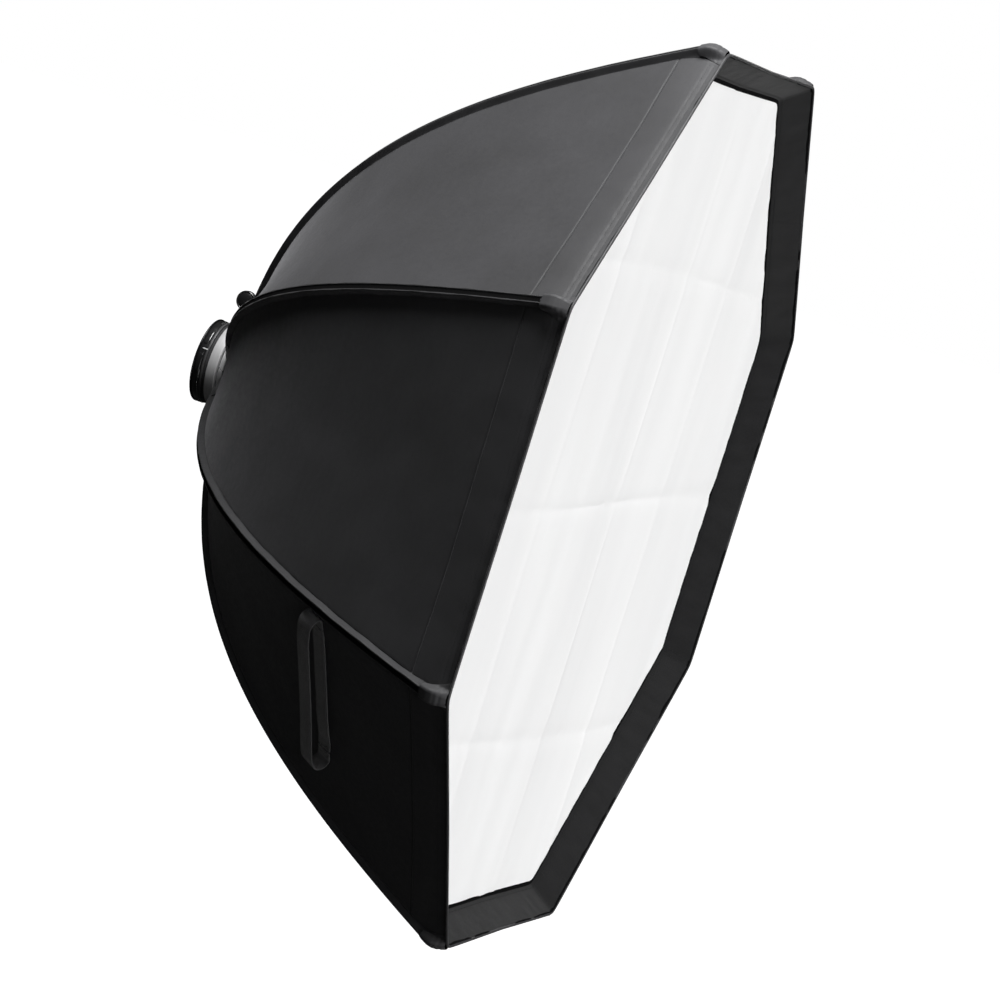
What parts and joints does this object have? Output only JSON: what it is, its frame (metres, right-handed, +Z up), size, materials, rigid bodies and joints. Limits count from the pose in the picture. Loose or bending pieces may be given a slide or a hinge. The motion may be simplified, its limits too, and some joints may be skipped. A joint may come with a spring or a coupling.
{
  "type": "octabox",
  "caption": "Folding eight-sided softbox: a black cloth bowl on sprung ribs, a white front diffuser, and a rotating hub ring that hangs on a studio lamp.",
  "frame": {"origin": "centre of the rear ring's rear face, where the box meets the lamp", "axes": "+Y out of the rear ring towards the lamp, so the light leaves along -Y; +Z up; +X to the right seen from the front"},
  "size_m": [1.2114, 0.638, 1.2114],
  "materials": {
    "cover_cloth": "coated black nylon weave with a soft sheen",
    "diffusion_cloth": "matte white translucent cloth",
    "webbing": "ribbed black webbing",
    "black_metal": "satin black anodised",
    "grey_metal": "satin turned grey",
    "bright_metal": "zinc-plated",
    "gloss_plastic": "polished black",
    "black_plastic": "moulded, fine texture",
    "rod": "pultruded fibreglass"
  },
  "bodies": {
    "mount": {"rear_ring": "black_metal", "bayonet_plate": "bright_metal"},
    "collar": {"grip_ring": "gloss_plastic"},
    "hub": {"hub_housing": "grey_metal", "hub_plate": "black_plastic", "split_ring": "grey_metal", "canopy_collar": "cover_cloth", "lever_pin": "bright_metal", "hinge_pin_1": "bright_metal", "hinge_pin_2": "bright_metal", "hinge_pin_3": "bright_metal", "hinge_pin_4": "bright_metal", "hinge_pin_5": "bright_metal", "hinge_pin_6": "bright_metal", "hinge_pin_7": "bright_metal", "hinge_pin_8": "bright_metal"},
    "lever": {"release_lever": "gloss_plastic"},
    "rib_1": {"rib_socket_1": "bright_metal", "rib_rod_1": "rod", "rib_cap_1": "black_plastic", "canopy_gore_1": "cover_cloth", "diffuser_sector_1": "diffusion_cloth"},
    "rib_2": {"rib_socket_2": "bright_metal", "rib_rod_2": "rod", "rib_cap_2": "black_plastic", "canopy_gore_2": "cover_cloth", "diffuser_sector_2": "diffusion_cloth"},
    "rib_3": {"rib_socket_3": "bright_metal", "rib_rod_3": "rod", "rib_cap_3": "black_plastic", "canopy_gore_3": "cover_cloth", "diffuser_sector_3": "diffusion_cloth"},
    "rib_4": {"rib_socket_4": "bright_metal", "rib_rod_4": "rod", "rib_cap_4": "black_plastic", "canopy_gore_4": "cover_cloth", "diffuser_sector_4": "diffusion_cloth"},
    "rib_5": {"rib_socket_5": "bright_metal", "rib_rod_5": "rod", "rib_cap_5": "black_plastic", "canopy_gore_5": "cover_cloth", "diffuser_sector_5": "diffusion_cloth"},
    "rib_6": {"rib_socket_6": "bright_metal", "rib_rod_6": "rod", "rib_cap_6": "black_plastic", "canopy_gore_6": "cover_cloth", "diffuser_sector_6": "diffusion_cloth", "carry_handle": "webbing", "handle_base_strap": "webbing"},
    "rib_7": {"rib_socket_7": "bright_metal", "rib_rod_7": "rod", "rib_cap_7": "black_plastic", "canopy_gore_7": "cover_cloth", "diffuser_sector_7": "diffusion_cloth"},
    "rib_8": {"rib_socket_8": "bright_metal", "rib_rod_8": "rod", "rib_cap_8": "black_plastic", "canopy_gore_8": "cover_cloth", "diffuser_sector_8": "diffusion_cloth"}
  },
  "joints": [
    {"name": "grip_lock", "type": "hinge", "parent": "mount", "child": "collar", "pos_m": [0, -0.0095, 0], "axis": [0, 1, 0], "range_deg": [0, 30]},
    {"name": "hub_rotation", "type": "hinge", "parent": "mount", "child": "hub", "pos_m": [0, -0.026, 0], "axis": [0, 1, 0], "continuous": true},
    {"name": "release_press", "type": "hinge", "parent": "hub", "child": "lever", "pos_m": [0, -0.028, 0.0645], "axis": [1, 0, 0], "range_deg": [0, 9], "stiffness_Nm_per_rad": 0.5, "springref_deg": -2.86},
    {"name": "rib_1_fold", "type": "hinge", "parent": "hub", "child": "rib_1", "pos_m": [0.02334, -0.05, 0.05636], "axis": [0.9239, 0, -0.3827], "range_deg": [0, 42], "deforming": ["canopy_gore_1", "diffuser_sector_1"]},
    {"name": "rib_2_fold", "type": "hinge", "parent": "hub", "child": "rib_2", "pos_m": [0.05636, -0.05, 0.02334], "axis": [0.3827, 0, -0.9239], "range_deg": [0, 42], "deforming": ["canopy_gore_2", "diffuser_sector_2"]},
    {"name": "rib_3_fold", "type": "hinge", "parent": "hub", "child": "rib_3", "pos_m": [0.05636, -0.05, -0.02334], "axis": [-0.3827, 0, -0.9239], "range_deg": [0, 42], "deforming": ["canopy_gore_3", "diffuser_sector_3"]},
    {"name": "rib_4_fold", "type": "hinge", "parent": "hub", "child": "rib_4", "pos_m": [0.02334, -0.05, -0.05636], "axis": [-0.9239, 0, -0.3827], "range_deg": [0, 42], "deforming": ["canopy_gore_4", "diffuser_sector_4"]},
    {"name": "rib_5_fold", "type": "hinge", "parent": "hub", "child": "rib_5", "pos_m": [-0.02334, -0.05, -0.05636], "axis": [-0.9239, 0, 0.3827], "range_deg": [0, 42], "deforming": ["canopy_gore_5", "diffuser_sector_5"]},
    {"name": "rib_6_fold", "type": "hinge", "parent": "hub", "child": "rib_6", "pos_m": [-0.05636, -0.05, -0.02334], "axis": [-0.3827, 0, 0.9239], "range_deg": [0, 42], "deforming": ["canopy_gore_6", "diffuser_sector_6", "carry_handle", "handle_base_strap"]},
    {"name": "rib_7_fold", "type": "hinge", "parent": "hub", "child": "rib_7", "pos_m": [-0.05636, -0.05, 0.02334], "axis": [0.3827, 0, 0.9239], "range_deg": [0, 42], "deforming": ["canopy_gore_7", "diffuser_sector_7"]},
    {"name": "rib_8_fold", "type": "hinge", "parent": "hub", "child": "rib_8", "pos_m": [-0.02334, -0.05, 0.05636], "axis": [0.9239, 0, 0.3827], "range_deg": [0, 42], "deforming": ["canopy_gore_8", "diffuser_sector_8"]}
  ],
  "couplings": [
    {"joint": "rib_2_fold", "follows": "rib_1_fold", "ratio": 1},
    {"joint": "rib_3_fold", "follows": "rib_1_fold", "ratio": 1},
    {"joint": "rib_4_fold", "follows": "rib_1_fold", "ratio": 1},
    {"joint": "rib_5_fold", "follows": "rib_1_fold", "ratio": 1},
    {"joint": "rib_6_fold", "follows": "rib_1_fold", "ratio": 1},
    {"joint": "rib_7_fold", "follows": "rib_1_fold", "ratio": 1},
    {"joint": "rib_8_fold", "follows": "rib_1_fold", "ratio": 1}
  ]
}
